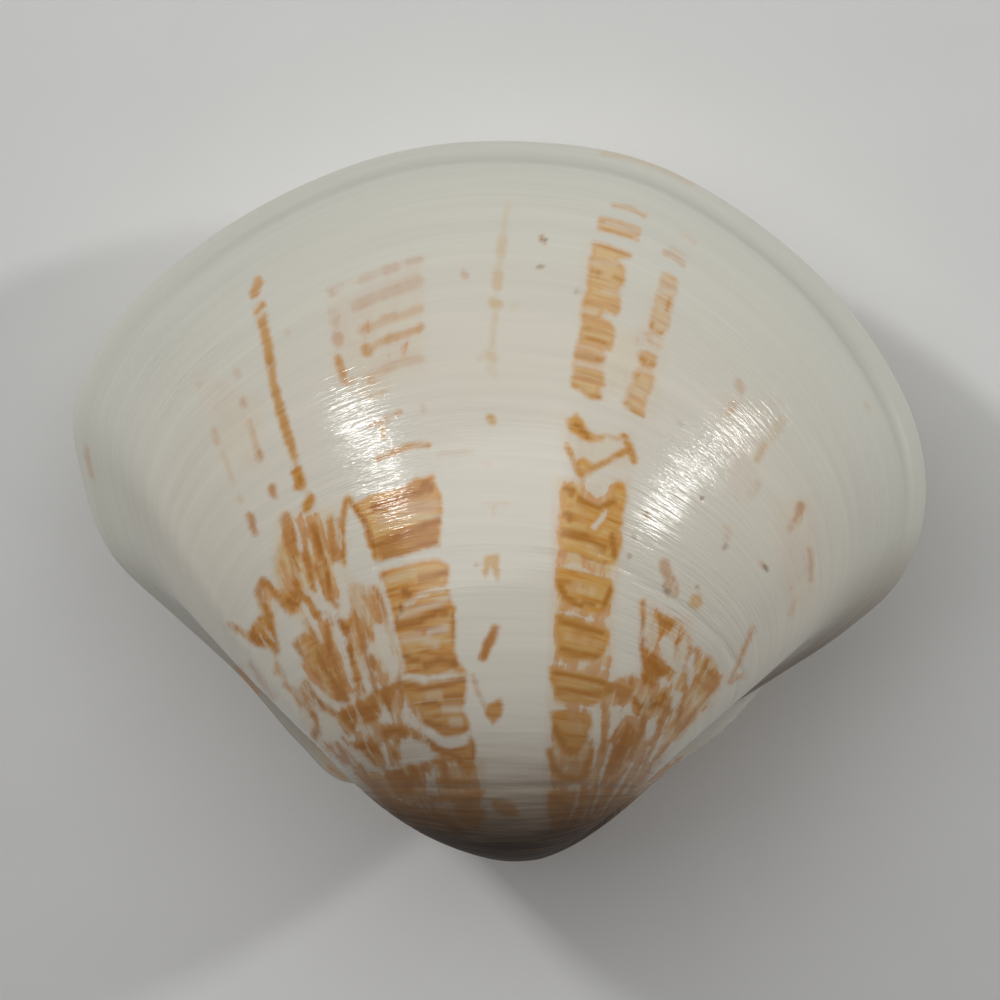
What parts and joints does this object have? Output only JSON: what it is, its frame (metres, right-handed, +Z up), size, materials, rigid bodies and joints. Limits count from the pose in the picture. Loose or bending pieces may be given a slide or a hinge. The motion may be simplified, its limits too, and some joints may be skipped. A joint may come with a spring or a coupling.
{
  "type": "closed clam shell",
  "caption": "Closed clam shell with smooth, glossy triangular valves, a high curled beak and a short ligament behind it, lying on one valve.",
  "frame": {"origin": "centre of the bounding box's base, on the floor that the shell lies on", "axes": "+X toward the shell's front end, +Y toward its free lower edge away from the beaks, +Z up, with the left valve on top"},
  "size_m": [0.0402, 0.0338, 0.025],
  "materials": {
    "left_shell": "glossy shell with orange-brown markings on off-white",
    "right_shell": "glossy shell with orange-brown markings on off-white",
    "ligament": "dark brown horny matt"
  },
  "bodies": {
    "root": {"left_valve": "left_shell", "right_valve": "right_shell", "ligament": "ligament"}
  },
  "joints": []
}
